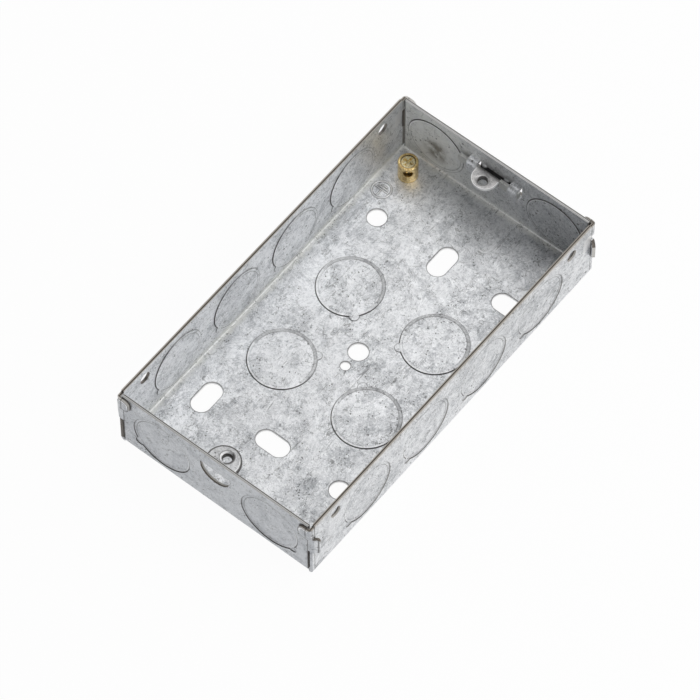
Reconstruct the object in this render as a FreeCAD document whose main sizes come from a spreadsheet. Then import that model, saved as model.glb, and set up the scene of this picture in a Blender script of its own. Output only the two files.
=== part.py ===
import FreeCAD, Part
import math
import os
import re

# Flush back box for a two-gang wiring accessory, folded from zinc coated sheet steel.
#
# Frame: X across the short side, Y along the long side, Z up out of the wall.
# The origin is the middle of the back, on the face that lies against the wall.
# The fixed lug is on the -Y end wall and the adjustable lug on the +Y end wall.

doc = FreeCAD.newDocument("FlushBackBox")
sheet = doc.addObject("Spreadsheet::Sheet", "Sizes")

SIZES = [
    # The folded box
    ("box_width", 72.0, "outside width over the long walls"),
    ("box_length", 132.0, "outside length over the end walls"),
    ("box_height", 26.0, "back face to rim"),
    ("metal", 1.0, "thickness of the sheet"),
    ("fold_inside", 0.4, "inside radius of the folds round the back"),
    ("seam_open", 0.6, "gap between each end wall and the long walls beside it"),
    ("seam_tight", 0.5, "gap between the lower tabs and the long walls' notches"),
    ("long_end_in", 0.1, "ends of the long walls, in from the end walls' outsides"),
    # Tabs that wrap round the corners
    ("tab_fold", 0.3, "inside radius of the corner tabs' folds"),
    ("high_tab_low", 20.3, "underside of the tabs at the rim"),
    ("high_tab_tall", 5.0, "height of the tabs at the rim"),
    ("high_tab_reach", 4.5, "reach of the tabs at the rim along the end walls"),
    ("high_tab_round", 1.8, "corner radius of the tabs at the rim"),
    ("low_tab_low", 12.2, "underside of the lower tabs"),
    ("low_tab_tall", 7.6, "height of the lower tabs"),
    ("low_tab_reach", 1.9, "length of the lower tabs past their folds"),
    ("low_tab_round", 1.6, "corner radius of the lower tabs"),
    ("low_tab_drop", 2.0, "how much lower the one at the +X +Y corner stands"),
    # Knockouts
    ("knockout_radius", 10.5, "radius of each knockout"),
    ("knockout_offset", 0.2, "how far each half-sheared knockout is pushed inwards"),
    ("tie_width", 3.0, "width of the half-round lug on each knockout where its tie holds"),
    ("back_knockout_x", 16.0, "knockouts in the back, from the middle along X"),
    ("back_knockout_y", 16.1, "knockouts in the back, from the middle along Y"),
    ("side_knockout_pitch", 27.1, "spacing of the knockouts in the long walls"),
    ("side_knockout_up", 12.8, "height of the knockouts in the walls"),
    ("fixed_knockout_x", 20.1, "knockouts beside the fixed lug, along X"),
    ("slide_knockout_x", 22.4, "knockouts beside the adjustable lug, along X"),
    # Holes
    ("back_hole_radius", 3.1, "round fixing holes in the back"),
    ("hole_side_in", 11.0, "outer fixing holes and slots, in from the long walls' outsides"),
    ("hole_end_in", 26.0, "outer fixing holes and slots, in from the end walls' outsides"),
    ("pilot_radius", 1.55, "small hole beside the middle one"),
    ("pilot_y", 6.15, "small hole, along Y"),
    ("slot_length", 11.3, "slots in the back, end to end"),
    ("slot_width", 6.4, "slots in the back, across"),
    ("wall_hole_radius", 2.1, "small holes high in the long walls"),
    ("wall_hole_in", 10.8, "small holes in the long walls, in from the end walls' outsides"),
    ("wall_hole_up", 21.5, "small holes in the long walls, height"),
    # Lugs for the accessory's screws
    ("lug_hole_in", 5.7, "threaded holes of both lugs, in from the end walls' outsides"),
    ("lug_top", 20.4, "upper face of both lugs"),
    ("lug_fold", 0.4, "inside radius of the lugs' folds"),
    ("lug_bore", 1.5, "radius of the threaded holes in the lugs"),
    ("lug_lip", 0.8, "radius of the rounded mouth of these holes"),
    ("collar_wall", 0.9, "wall of the collar drawn down round each hole"),
    ("collar_drop", 1.2, "depth of the collar under the lug"),
    ("fixed_lug_radius", 5.4, "round end and half width of the fixed lug"),
    ("fixed_lug_nose", 3.7, "from its hole to the end of the fixed lug"),
    ("window_low", 13.4, "bottom of the window under the fixed lug"),
    # Adjustable lug
    ("slide_lug_radius", 4.15, "round end and half width of the adjustable lug"),
    ("slide_lug_nose", 3.05, "from its hole to the end of the adjustable lug"),
    ("slide_rest_x", -1.2, "where the adjustable lug stands along X"),
    ("strip_tall", 3.2, "height of the lug's sliding strip"),
    ("strip_half", 11.4, "half length of the sliding strip"),
    ("strip_round", 0.6, "corner radius of the strip's ends"),
    ("strip_fold", 0.15, "inside radius of the fold between strip and lug"),
    ("strip_slack", 0.15, "play between the strip and the straps' fronts"),
    ("strap_x", 7.7, "from halfway between the straps to the middle of each"),
    ("strap_shift", 0.6, "how far the two straps stand towards +X"),
    ("strap_width", 3.3, "width of each strap"),
    ("strap_depth", 2.2, "from the wall's inside to the inside of each strap's front"),
    ("strap_play", 0.5, "play of the strip in its straps, above and below"),
    ("strap_round", 0.8, "inside radius of the straps' bends"),
    ("dimple_x", 4.2, "dimples behind the strip, along X"),
    ("dimple_radius", 1.45, "radius of the dimples at the wall"),
    ("dimple_crown", 0.8, "radius of the dimples' flat crowns"),
    ("dimple_hollow", 0.9, "radius and depth of the hollow behind each dimple"),
    ("dimple_play", 0.1, "play between the dimples and the strip"),
    # Earth terminal
    ("pillar_side_in", 8.7, "earth terminal, in from the left wall's outside"),
    ("pillar_end_in", 8.2, "earth terminal, in from the far wall's outside"),
    ("pillar_radius", 3.15, "radius of the terminal's pillar"),
    ("pillar_tall", 7.2, "height of the pillar above the back's sheet"),
    ("pillar_bevel", 0.25, "bevel of the pillar's rim"),
    ("rivet_radius", 1.5, "spigot that is riveted through the back"),
    ("rivet_play", 0.03, "play of the spigot in its hole"),
    ("wire_radius", 1.5, "radius of the wire hole"),
    ("wire_drop", 2.4, "middle of the wire hole below the pillar's top"),
    ("clamp_bore", 2.3, "radius of the threaded bore for the clamp screw"),
    ("clamp_deep", 0.3, "how far the bore ends below the wire hole"),
    ("clamp_play", 0.06, "radial play of the clamp screw"),
    ("clamp_length", 2.6, "length of the clamp screw"),
    ("clamp_sink", 0.3, "clamp screw's top below the pillar's top"),
    ("cross_length", 3.3, "cross recess of the screw, end to end"),
    ("cross_width", 0.75, "cross recess of the screw, across"),
    ("cross_depth", 0.9, "depth of the cross recess"),
]
# The wire hole faces into the box, turned this far from -Y towards +X.
WIRE_TURN = 39.0
# The lower tabs are folded only this far, so they stand away from the long walls.
LOW_TAB_TURN = 42.0
# The cuts run this far past the faces that they go through.
PAST = 1.0
# The rounded mouth of each lug's hole is turned in this many steps.
MOUTH_STEPS = 3
# Each wall knockout's tie lies low on one side of its ring: parts of its radius, across and up.
TIE_ASIDE = 0.8
TIE_UP = -0.6

for row, (alias, value, meaning) in enumerate(SIZES, start=1):
    sheet.set(f"A{row}", meaning)
    sheet.set(f"B{row}", str(value))
    sheet.setAlias(f"B{row}", alias)
doc.recompute()

ALIAS = re.compile(r"\b(" + "|".join(alias for alias, value, meaning in SIZES) + r")\b")
AXES = ("X", "Y", "Z")
SIDE = {"X": "Length", "Y": "Width", "Z": "Height"}
ALONG = {
    "X": FreeCAD.Rotation(FreeCAD.Vector(0, 1, 0), 90),
    "Y": FreeCAD.Rotation(FreeCAD.Vector(1, 0, 0), -90),
    "Z": FreeCAD.Rotation(),
}

# Faces of the folded box, as formulas of the sizes
HALF_WIDTH = "(box_width/2)"
HALF_LENGTH = "(box_length/2)"
WIDTH_IN = "(box_width/2 - metal)"
LENGTH_IN = "(box_length/2 - metal)"
FOLD_OUT = "(fold_inside + metal)"
TAB_OUT = "(tab_fold + metal)"
LUG_UNDER = "(lug_top - metal)"
STRIP_MIDDLE = "(lug_top - strip_tall/2)"

# Places of holes and pieces, measured in from the walls
HOLE_X = "(box_width/2 - hole_side_in)"
HOLE_Y = "(box_length/2 - hole_end_in)"
WALL_HOLE_Y = "(box_length/2 - wall_hole_in)"
LUG_HOLE_Y = "(box_length/2 - lug_hole_in)"
PILLAR_CENTRE = ("(pillar_side_in - box_width/2)", "(box_length/2 - pillar_end_in)")


# Formulas and simple solids

def bind(item, prop, formula):
    """Tie one property to a formula of the sizes."""
    item.setExpression(prop, ALIAS.sub(r"Sizes.\1", str(formula)))


def toward(start, sign, size):
    """The stretch that runs from start, by size, up or down its axis."""
    if sign > 0:
        return start, f"({start} + {size})"
    return f"({start} - {size})", start


def mirror_span(sign, near, far):
    """The stretch from near to far, on the side of the middle that sign gives."""
    if sign > 0:
        return near, far
    return f"(0 - {far})", f"(0 - {near})"


def centred(middle, half):
    """The stretch that reaches half to each side of middle."""
    return f"({middle} - {half})", f"({middle} + {half})"


def place(item, point):
    """Put an item's own origin at a point given by three formulas."""
    for axis, formula in zip("xyz", point):
        bind(item, f"Placement.Base.{axis}", formula)


def block(name, **spans):
    """A box given by its stretch along each axis."""
    item = doc.addObject("Part::Box", name)
    for axis in AXES:
        low, high = spans[axis]
        bind(item, SIDE[axis], f"({high}) - ({low})")
    place(item, [spans[axis][0] for axis in AXES])
    return item


def rod(name, radius, along, span, centre):
    """A cylinder; centre gives its place on the two other axes, in their order."""
    item = doc.addObject("Part::Cylinder", name)
    item.Placement.Rotation = ALONG[along]
    bind(item, "Radius", radius)
    bind(item, "Height", f"({span[1]}) - ({span[0]})")
    point = list(centre)
    point.insert(AXES.index(along), span[0])
    place(item, point)
    return item


def joined(name, pieces):
    """One solid from pieces that touch or overlap."""
    item = doc.addObject("Part::MultiFuse", name)
    item.Shapes = pieces
    item.Refine = True
    return item


def carved(name, base, tools):
    """The base with the tools' space taken out."""
    item = doc.addObject("Part::Cut", name)
    item.Base = base
    item.Tool = tools[0] if len(tools) == 1 else joined(name + "_tools", tools)
    item.Refine = True
    return item


def shared(name, first, second):
    """What two solids have in common."""
    item = doc.addObject("Part::Common", name)
    item.Base = first
    item.Tool = second
    return item


# Forms of folded sheet

def fold(name, along, span, inside, centre, signs):
    """The metal of one right-angled fold: a quarter of a tube about centre."""
    outside = f"({inside} + metal)"
    outer = rod(name + "_outer", outside, along, span, centre)
    inner = rod(name + "_inner", inside, along, span, centre)
    spans = {along: span}
    others = [axis for axis in AXES if axis != along]
    for axis, middle, sign in zip(others, centre, signs):
        spans[axis] = toward(middle, sign, outside)
    return shared(name, carved(name + "_tube", outer, [inner]), block(name + "_corner", **spans))


def rounded_plate(name, normal, thickness, across, root, sign, reach, low, high, corner):
    """A flat tab from its root, with the two corners of its end rounded."""
    inner_tip = f"({root} + {sign}*({reach} - {corner}))"
    outline = {normal: thickness, across: toward(root, sign, reach), "Z": (low, high)}
    full = dict(outline)
    full[across] = toward(root, sign, f"({reach} - {corner})")
    core = dict(outline)
    core["Z"] = (f"({low} + {corner})", f"({high} - {corner})")
    pieces = [block(name + "_full", **full), block(name + "_core", **core)]
    for height in core["Z"]:
        pieces.append(rod(name + "_round", corner, normal, thickness, (inner_tip, height)))
    return shared(name, joined(name + "_whole", pieces), block(name + "_outline", **outline))


# Knockouts and holes

def knockout_discs(name, normal, thickness, centre, tie):
    """One knockout's outline through a given thickness: a disc with its half-round tie."""
    disc = rod(name + "_disc", "knockout_radius", normal, thickness, centre)
    spot = [f"({middle} + {part:.4f}*knockout_radius)" for middle, part in zip(centre, tie)]
    return [disc, rod(name + "_tie", "(tie_width/2)", normal, thickness, spot)]


def with_knockouts(name, wall, normal, inward, faces, places):
    """A wall whose knockouts are half sheared: sunk on its outside and proud on its inside."""
    outer_face, inner_face = faces
    sunk = toward(outer_face, inward, "knockout_offset")
    proud = toward(inner_face, inward, "knockout_offset")
    hollows = []
    pads = []
    for centre, tie in places:
        hollows += knockout_discs(name + "_sunk", normal, sunk, centre, tie)
        pads += knockout_discs(name + "_proud", normal, proud, centre, tie)
    return joined(name + "_sheared", [carved(name + "_hollowed", wall, hollows)] + pads)


def run_past(span):
    """A stretch through the metal and past both its faces."""
    return f"({span[0]} - {PAST})", f"({span[1]} + {PAST})"


def slot(name, centre, along):
    """A round-ended slot through the back."""
    through = run_past(("0", "metal"))
    half = "((slot_length - slot_width)/2)"
    spans = {"X": centred(centre[0], "(slot_width/2)"),
             "Y": centred(centre[1], "(slot_width/2)"), "Z": through}
    middle = centre[AXES.index(along)]
    spans[along] = centred(middle, half)
    pieces = [block(name + "_middle", **spans)]
    for sign in (-1, 1):
        end = list(centre)
        end[AXES.index(along)] = f"({middle} + {sign}*{half})"
        pieces.append(rod(name + "_end", "(slot_width/2)", "Z", through, end))
    return joined(name, pieces)


def lug_mouth(name, centre):
    """The hole of a lug with its rounded mouth, as the space to take out."""
    bore_span = (f"({LUG_UNDER} - collar_drop - {PAST})", f"(lug_top + {PAST})")
    space = [rod(name + "_bore", "lug_bore", "Z", bore_span, centre)]
    for step in range(MOUTH_STEPS):
        low, high = [math.pi / 2 * (step + end) / MOUTH_STEPS for end in (0, 1)]
        ring = doc.addObject("Part::Cone", name + "_mouth")
        bind(ring, "Radius1", f"(lug_bore + {1 - math.cos(low):.4f}*lug_lip)")
        bind(ring, "Radius2", f"(lug_bore + {1 - math.cos(high):.4f}*lug_lip)")
        bind(ring, "Height", f"({math.sin(high) - math.sin(low):.4f}*lug_lip)")
        foot = f"(lug_top - lug_lip + {math.sin(low):.4f}*lug_lip)"
        place(ring, (centre[0], centre[1], foot))
        space.append(ring)
    return space


def collar(name, centre):
    """The collar drawn down round a lug's hole."""
    span = (f"({LUG_UNDER} - collar_drop)", "lug_top")
    return rod(name, "(lug_bore + collar_wall)", "Z", span, centre)


def round_nose(name, radius, centre, sign):
    """The half-round end of a lug, on the side of its centre that sign gives."""
    rows = (LUG_UNDER, "lug_top")
    disc = rod(name + "_disc", radius, "Z", rows, centre)
    half = block(name + "_half", X=centred(centre[0], radius),
                 Y=toward(centre[1], sign, radius), Z=rows)
    return shared(name, disc, half)


# The folded box

def tab_drop(side, end):
    """How much lower the lower tab of one corner stands."""
    return "low_tab_drop" if side > 0 and end > 0 else "0"


def long_wall(sign):
    """One long wall with its fold, its knockouts, its small holes and its two high tabs."""
    name = "right" if sign > 0 else "left"
    face = mirror_span(sign, WIDTH_IN, HALF_WIDTH)
    length = centred("0", f"({HALF_LENGTH} - long_end_in)")
    plate = block(name + "_plate", X=face, Y=length, Z=(FOLD_OUT, "box_height"))
    notches = []
    tabs = []
    for end in (-1, 1):
        notch_y = mirror_span(end, f"({LENGTH_IN} - seam_tight)", f"({HALF_LENGTH} + {PAST})")
        notch_low = f"(low_tab_low - {tab_drop(sign, end)} - seam_tight)"
        notches.append(block(name + "_notch", X=run_past(face), Y=notch_y,
                             Z=(notch_low, f"(box_height + {PAST})")))
        tabs += high_tab(f"{name}_tab_{'far' if end > 0 else 'near'}", sign, end, face)
    fold_x = f"({sign}*({HALF_WIDTH} - {FOLD_OUT}))"
    bend = fold(name + "_fold", "Y", length, "fold_inside", (fold_x, FOLD_OUT), (sign, -1))
    wall = joined(name + "_wall", [carved(name + "_notched", plate, notches), bend] + tabs)
    places = [((f"({step}*side_knockout_pitch)", "side_knockout_up"), (-TIE_ASIDE, TIE_UP))
              for step in (-1.5, -0.5, 0.5, 1.5)]
    faces = (f"({sign}*{HALF_WIDTH})", f"({sign}*{WIDTH_IN})")
    sheared = with_knockouts(name, wall, "X", -sign, faces, places)
    holes = []
    for end in (-1, 1):
        holes.append(rod(name + "_hole", "wall_hole_radius", "X", run_past(face),
                         (f"({end}*{WALL_HOLE_Y})", "wall_hole_up")))
    return carved(name + "_side", sheared, holes)


def high_tab(name, side, end, face):
    """A tab of a long wall at the rim, folded round the corner onto the end wall."""
    rows = ("high_tab_low", "(high_tab_low + high_tab_tall)")
    bend_x = f"({side}*({WIDTH_IN} - tab_fold))"
    bend_y = f"({end}*({HALF_LENGTH} - tab_fold))"
    run = mirror_span(end, f"({LENGTH_IN} - seam_open)", f"({HALF_LENGTH} - tab_fold)")
    outside = mirror_span(end, HALF_LENGTH, f"({HALF_LENGTH} + metal)")
    flat_reach = "(high_tab_reach - metal - tab_fold)"
    return [
        block(name + "_run", X=face, Y=run, Z=rows),
        fold(name + "_fold", "Z", rows, "tab_fold", (bend_x, bend_y), (side, end)),
        rounded_plate(name + "_ear", "Y", outside, "X", bend_x, -side, flat_reach,
                      rows[0], rows[1], "high_tab_round"),
    ]


def stepped(centre, *steps):
    """The level point that steps along given directions reach from a centre."""
    moves = ["".join(f" + {way[axis]:.9f}*{size}" for way, size in steps) for axis in (0, 1)]
    return [f"({middle}{move})" for middle, move in zip(centre, moves)]


def leaning_plate(name, centre, along, outward, rows):
    """A flat tab that leaves its fold along one direction, with its end's corners rounded."""
    left_handed = along.x * outward.y - along.y * outward.x < 0
    first_face = "(tab_fold + metal)" if left_handed else "tab_fold"
    low, high = rows
    heights = (f"({low} + low_tab_round)", f"({high} - low_tab_round)")
    short = "(low_tab_reach - low_tab_round)"
    corner = stepped(centre, (outward, first_face))
    shapes = {}
    for part, reach, bottom, top in (("full", short, low, high), ("core", "low_tab_reach", *heights),
                                     ("outline", "low_tab_reach", low, high)):
        item = doc.addObject("Part::Box", f"{name}_{part}")
        item.Placement.Rotation = FreeCAD.Rotation(FreeCAD.Vector(1, 0, 0), along)
        bind(item, "Length", reach)
        bind(item, "Width", "metal")
        bind(item, "Height", f"({top}) - ({bottom})")
        place(item, (*corner, bottom))
        shapes[part] = item
    pieces = [shapes["full"], shapes["core"]]
    for height in heights:
        disc = doc.addObject("Part::Cylinder", name + "_round")
        disc.Placement.Rotation = FreeCAD.Rotation(FreeCAD.Vector(0, 0, 1), outward)
        bind(disc, "Radius", "low_tab_round")
        bind(disc, "Height", "metal")
        place(disc, (*stepped(centre, (outward, "tab_fold"), (along, short)), height))
        pieces.append(disc)
    return shared(name, joined(name + "_whole", pieces), shapes["outline"])


def low_tab(name, side, end, face, drop):
    """A tab of an end wall, half folded round the corner below the high tab."""
    rows = (f"(low_tab_low - {drop})", f"(low_tab_low + low_tab_tall - {drop})")
    centre = (f"({side}*({HALF_WIDTH} - tab_fold))", f"({end}*({LENGTH_IN} - tab_fold))")
    run = mirror_span(side, f"({WIDTH_IN} - seam_open)", f"({HALF_WIDTH} - tab_fold)")
    turn = math.radians(LOW_TAB_TURN)
    along = FreeCAD.Vector(side * math.cos(turn), -end * math.sin(turn), 0)
    outward = FreeCAD.Vector(side * math.sin(turn), end * math.cos(turn), 0)
    first_way = outward if side == end else FreeCAD.Vector(0, end, 0)
    bend = rod(name + "_bend_outer", TAB_OUT, "Z", rows, centre)
    bend.Placement.Rotation = FreeCAD.Rotation(FreeCAD.Vector(1, 0, 0), first_way)
    bend.Angle = LOW_TAB_TURN
    hollow = rod(name + "_bend_inner", "tab_fold", "Z", rows, centre)
    return [
        block(name + "_run", X=run, Y=face, Z=rows),
        carved(name + "_bend", bend, [hollow]),
        leaning_plate(name + "_ear", centre, along, outward, rows),
    ]


def end_wall(end, knockout_x):
    """One end wall with its fold, its two knockouts and its two low tabs."""
    name = "far" if end > 0 else "near"
    face = mirror_span(end, LENGTH_IN, HALF_LENGTH)
    width = centred("0", f"({WIDTH_IN} - seam_open)")
    fold_y = f"({end}*({HALF_LENGTH} - {FOLD_OUT}))"
    pieces = [
        block(name + "_plate", X=width, Y=face, Z=(FOLD_OUT, "box_height")),
        fold(name + "_fold", "X", width, "fold_inside", (fold_y, FOLD_OUT), (end, -1)),
    ]
    for side in (-1, 1):
        label = f"{name}_tab_{'right' if side > 0 else 'left'}"
        pieces += low_tab(label, side, end, face, tab_drop(side, end))
    places = [((f"({side}*{knockout_x})", "side_knockout_up"), (side * TIE_ASIDE, TIE_UP))
              for side in (-1, 1)]
    faces = (f"({end}*{HALF_LENGTH})", f"({end}*{LENGTH_IN})")
    return with_knockouts(name, joined(name + "_wall", pieces), "Y", -end, faces, places)


def fixed_lug_end():
    """The -Y end wall, with the lug folded in from the window under it."""
    wall = end_wall(-1, "fixed_knockout_x")
    face = mirror_span(-1, LENGTH_IN, HALF_LENGTH)
    radius = "fixed_lug_radius"
    across = centred("0", radius)
    sill = f"(window_low + {radius})"
    window = [
        block("window_upper", X=across, Y=run_past(face), Z=(sill, "(lug_top + lug_fold)")),
        shared("window_round", rod("window_disc", radius, "Y", run_past(face), ("0", sill)),
               block("window_half", X=across, Y=run_past(face), Z=("window_low", sill))),
    ]
    opened = carved("near_opened", wall, window)
    hole_y = f"(0 - {LUG_HOLE_Y})"
    nose_y = f"({hole_y} + fixed_lug_nose - {radius})"
    root_y = f"(0 - {LENGTH_IN} + lug_fold)"
    plate_rows = (LUG_UNDER, "lug_top")
    pieces = [
        opened,
        fold("lug_fold", "X", across, "lug_fold", (root_y, "(lug_top + lug_fold)"), (-1, -1)),
        block("lug_plate", X=across, Y=(root_y, nose_y), Z=plate_rows),
        round_nose("lug_nose", radius, ("0", nose_y), 1),
        collar("lug_collar", ("0", hole_y)),
    ]
    return carved("near_end", joined("near_solid", pieces), lug_mouth("fixed", ("0", hole_y)))


def strap(side):
    """A bridge pressed inwards out of the wall, and the opening that it leaves."""
    name = "strap_right" if side > 0 else "strap_left"
    span = centred(f"(strap_shift + {side}*strap_x)", "(strap_width/2)")
    inside = centred(STRIP_MIDDLE, "(strip_tall/2 + strap_play)")
    outside = centred(STRIP_MIDDLE, "(strip_tall/2 + strap_play + metal)")
    outer = rounded_plate(name + "_outer", "X", span, "Y", LENGTH_IN, -1, "(strap_depth + metal)",
                          outside[0], outside[1], "(strap_round + metal)")
    inner = rounded_plate(name + "_inner", "X", span, "Y", LENGTH_IN, -1, "strap_depth",
                          inside[0], inside[1], "strap_round")
    opening = block(name + "_opening", X=span, Y=(LENGTH_IN, f"({HALF_LENGTH} + {PAST})"), Z=inside)
    return carved(name, outer, [inner]), opening


def strip_back():
    """The back face of the sliding strip, one sheet behind the straps' fronts and their play."""
    return f"({LENGTH_IN} - strap_depth + strip_slack + metal)"


def slide_lug_end():
    """The +Y end wall, with the two straps and the dimples behind the strip."""
    wall = end_wall(1, "slide_knockout_x")
    straps = [strap(side) for side in (-1, 1)]
    crown = f"({strip_back()} + dimple_play)"
    dimples = []
    hollows = []
    for side in (-1, 1):
        spot = f"({side}*dimple_x)"
        boss = doc.addObject("Part::Cone", "dimple")
        boss.Placement.Rotation = ALONG["Y"]
        bind(boss, "Radius1", "dimple_crown")
        bind(boss, "Radius2", "dimple_radius")
        bind(boss, "Height", f"({LENGTH_IN} - {crown})")
        place(boss, (spot, crown, STRIP_MIDDLE))
        dimples.append(boss)
        hollows.append(rod("dimple_hollow", "dimple_hollow", "Y",
                           (f"({HALF_LENGTH} - dimple_hollow)", f"({HALF_LENGTH} + {PAST})"),
                           (spot, STRIP_MIDDLE)))
    opened = carved("far_opened", wall, [opening for bridge, opening in straps])
    solid = joined("far_solid", [opened] + [bridge for bridge, opening in straps] + dimples)
    return carved("far_end", solid, hollows)


def back():
    """The flat back with its knockouts, fixing holes and slots."""
    rows = ("0", "metal")
    plate = block("back_plate", X=centred("0", f"({HALF_WIDTH} - {FOLD_OUT})"),
                  Y=centred("0", f"({HALF_LENGTH} - {FOLD_OUT})"), Z=rows)
    through = run_past(rows)
    diagonal = math.sqrt(0.5)
    places = []
    for side in (-1, 1):
        for end in (-1, 1):
            centre = (f"({side}*back_knockout_x)", f"({end}*back_knockout_y)")
            places.append((centre, (-side * diagonal, -end * diagonal)))
    sheared = with_knockouts("back", plate, "Z", 1, rows, places)
    tools = []
    left, near = f"(0 - {HOLE_X})", f"(0 - {HOLE_Y})"
    round_holes = [("0", "0"), (left, HOLE_Y), (HOLE_X, near)]
    for centre in round_holes:
        tools.append(rod("back_hole", "back_hole_radius", "Z", through, centre))
    tools.append(rod("pilot_hole", "pilot_radius", "Z", through, ("0", "(0 - pilot_y)")))
    tools.append(rod("rivet_hole", "(rivet_radius + rivet_play)", "Z", through,
                     PILLAR_CENTRE))
    slots = [(("0", near), "X"), ((left, near), "Y"), (("0", HOLE_Y), "Y"), ((HOLE_X, HOLE_Y), "X")]
    for centre, along in slots:
        tools.append(slot("back_slot", centre, along))
    return carved("back", sheared, tools)


def box_shell():
    """The box: one sheet with a back, four folded walls, corner tabs, fixed lug and straps."""
    sides = [long_wall(-1), long_wall(1), fixed_lug_end(), slide_lug_end()]
    return joined("box_shell", [back()] + sides)


# The adjustable lug

def adjustable_lug():
    """A strip that slides behind the two straps, with the threaded lug folded out of it."""
    radius = "slide_lug_radius"
    rear = strip_back()
    thickness = (f"({rear} - metal)", rear)
    hole = ("slide_rest_x", LUG_HOLE_Y)
    nose_y = f"({hole[1]} - slide_lug_nose + {radius})"
    low = "(lug_top - strip_tall)"
    pieces = []
    for side in (-1, 1):
        pieces.append(rounded_plate("strip_wing", "Y", thickness, "X", "slide_rest_x", side,
                                    "strip_half", low, "lug_top", "strip_round"))
    outside = "(strip_fold + metal)"
    across = centred("slide_rest_x", radius)
    root_y = f"({rear} - {outside})"
    pieces.append(block("tab_plate", X=across, Y=(nose_y, root_y), Z=(LUG_UNDER, "lug_top")))
    pieces.append(round_nose("tab_nose", radius, (hole[0], nose_y), -1))
    pieces.append(collar("tab_collar", hole))
    whole = joined("slide_solid", pieces)
    notch = block("fold_notch", X=across, Y=(root_y, f"({rear} + {PAST})"),
                  Z=(f"(lug_top - {outside})", f"(lug_top + {PAST})"))
    rounded = fold("tab_fold", "X", across, "strip_fold", (root_y, f"(lug_top - {outside})"),
                   (1, 1))
    bent = joined("slide_bent", [carved("slide_notched", whole, [notch]), rounded])
    return carved("adjustable_lug", bent, lug_mouth("slide", hole))


# The earth terminal

def earth_terminal_pillar():
    """A brass pillar riveted to the back, with a bore for its clamp screw and a wire hole."""
    centre = PILLAR_CENTRE
    top = "(metal + pillar_tall)"
    body = rod("pillar_body", "pillar_radius", "Z", ("metal", f"({top} - pillar_bevel)"), centre)
    rim = doc.addObject("Part::Cone", "pillar_rim")
    bind(rim, "Radius1", "pillar_radius")
    bind(rim, "Radius2", "(pillar_radius - pillar_bevel)")
    bind(rim, "Height", "pillar_bevel")
    place(rim, (centre[0], centre[1], f"({top} - pillar_bevel)"))
    rivet = rod("pillar_rivet", "rivet_radius", "Z", ("0", "metal"), centre)
    solid = joined("pillar_solid", [body, rim, rivet])
    wire_z = f"({top} - wire_drop)"
    bore = rod("clamp_bore_space", "clamp_bore", "Z",
               (f"({wire_z} - wire_radius - clamp_deep)", f"({top} + {PAST})"), centre)
    wire = doc.addObject("Part::Cylinder", "wire_hole")
    turn = math.radians(WIRE_TURN)
    outward = FreeCAD.Vector(math.sin(turn), -math.cos(turn), 0)
    wire.Placement.Rotation = FreeCAD.Rotation(FreeCAD.Vector(0, 0, 1), outward)
    bind(wire, "Radius", "wire_radius")
    bind(wire, "Height", "(4*pillar_radius)")
    start = [f"({middle} - {part:.4f}*2*pillar_radius)"
             for middle, part in zip(centre, (outward.x, outward.y))]
    place(wire, (start[0], start[1], wire_z))
    return carved("earth_terminal_pillar", solid, [bore, wire])


def earth_terminal_screw():
    """The clamp screw, sunk in the pillar, with a cross recess."""
    centre = PILLAR_CENTRE
    top = "(metal + pillar_tall - clamp_sink)"
    shank = rod("clamp_shank", "(clamp_bore - clamp_play)", "Z",
                (f"({top} - clamp_length)", top), centre)
    depth = (f"({top} - cross_depth)", f"({top} + {PAST})")
    arms = []
    for lengths in (("cross_length", "cross_width"), ("cross_width", "cross_length")):
        arms.append(block("cross_arm", X=centred(centre[0], f"({lengths[0]}/2)"),
                          Y=centred(centre[1], f"({lengths[1]}/2)"), Z=depth))
    return carved("earth_terminal_screw", shank, arms)


def check(parts):
    """Stop before anything is written if an object failed or a cut took nothing away."""
    for item in doc.Objects:
        state = set(item.State) & {"Invalid", "Error"}
        if state:
            raise RuntimeError(f"{item.Name} is {', '.join(state)}")
        if item.TypeId == "Part::Cut" and item.Shape.Volume >= item.Base.Shape.Volume:
            raise RuntimeError(f"{item.Name} cuts nothing")
    for item in parts:
        if item.Shape.isNull() or not item.Shape.isValid() or len(item.Shape.Solids) != 1:
            raise RuntimeError(f"{item.Name} is not one valid solid")


PARTS = [box_shell(), adjustable_lug(), earth_terminal_pillar(), earth_terminal_screw()]
for part in PARTS:
    part.Label = part.Name
doc.recompute()
check(PARTS)

os.makedirs("parts", exist_ok=True)
for part in PARTS:
    part.Shape.exportStep(f"parts/{part.Label}.step")
    box = part.Shape.BoundBox
    print(f"{part.Label}: {part.Shape.Volume:.1f} mm3, "
          f"X {box.XMin:.2f} {box.XMax:.2f}, Y {box.YMin:.2f} {box.YMax:.2f}, "
          f"Z {box.ZMin:.2f} {box.ZMax:.2f}")
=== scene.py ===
# %% [markdown]
# # Dressing a flush back box
#
# The box is folded from thin zinc coated steel. Its shape comes from the packed
# CAD model, which stays as it is. This lesson adds what a drawing leaves out:
# the coating's faint spangle and scratches, dark cut edges, the brass of the
# earth terminal, the threads in the lugs and the pressed earth sign.
#
# The model could be remade by hand in Blender, but then its sizes could drift.
# Loading it as a fixed frame keeps every piece at its real size.

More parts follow.
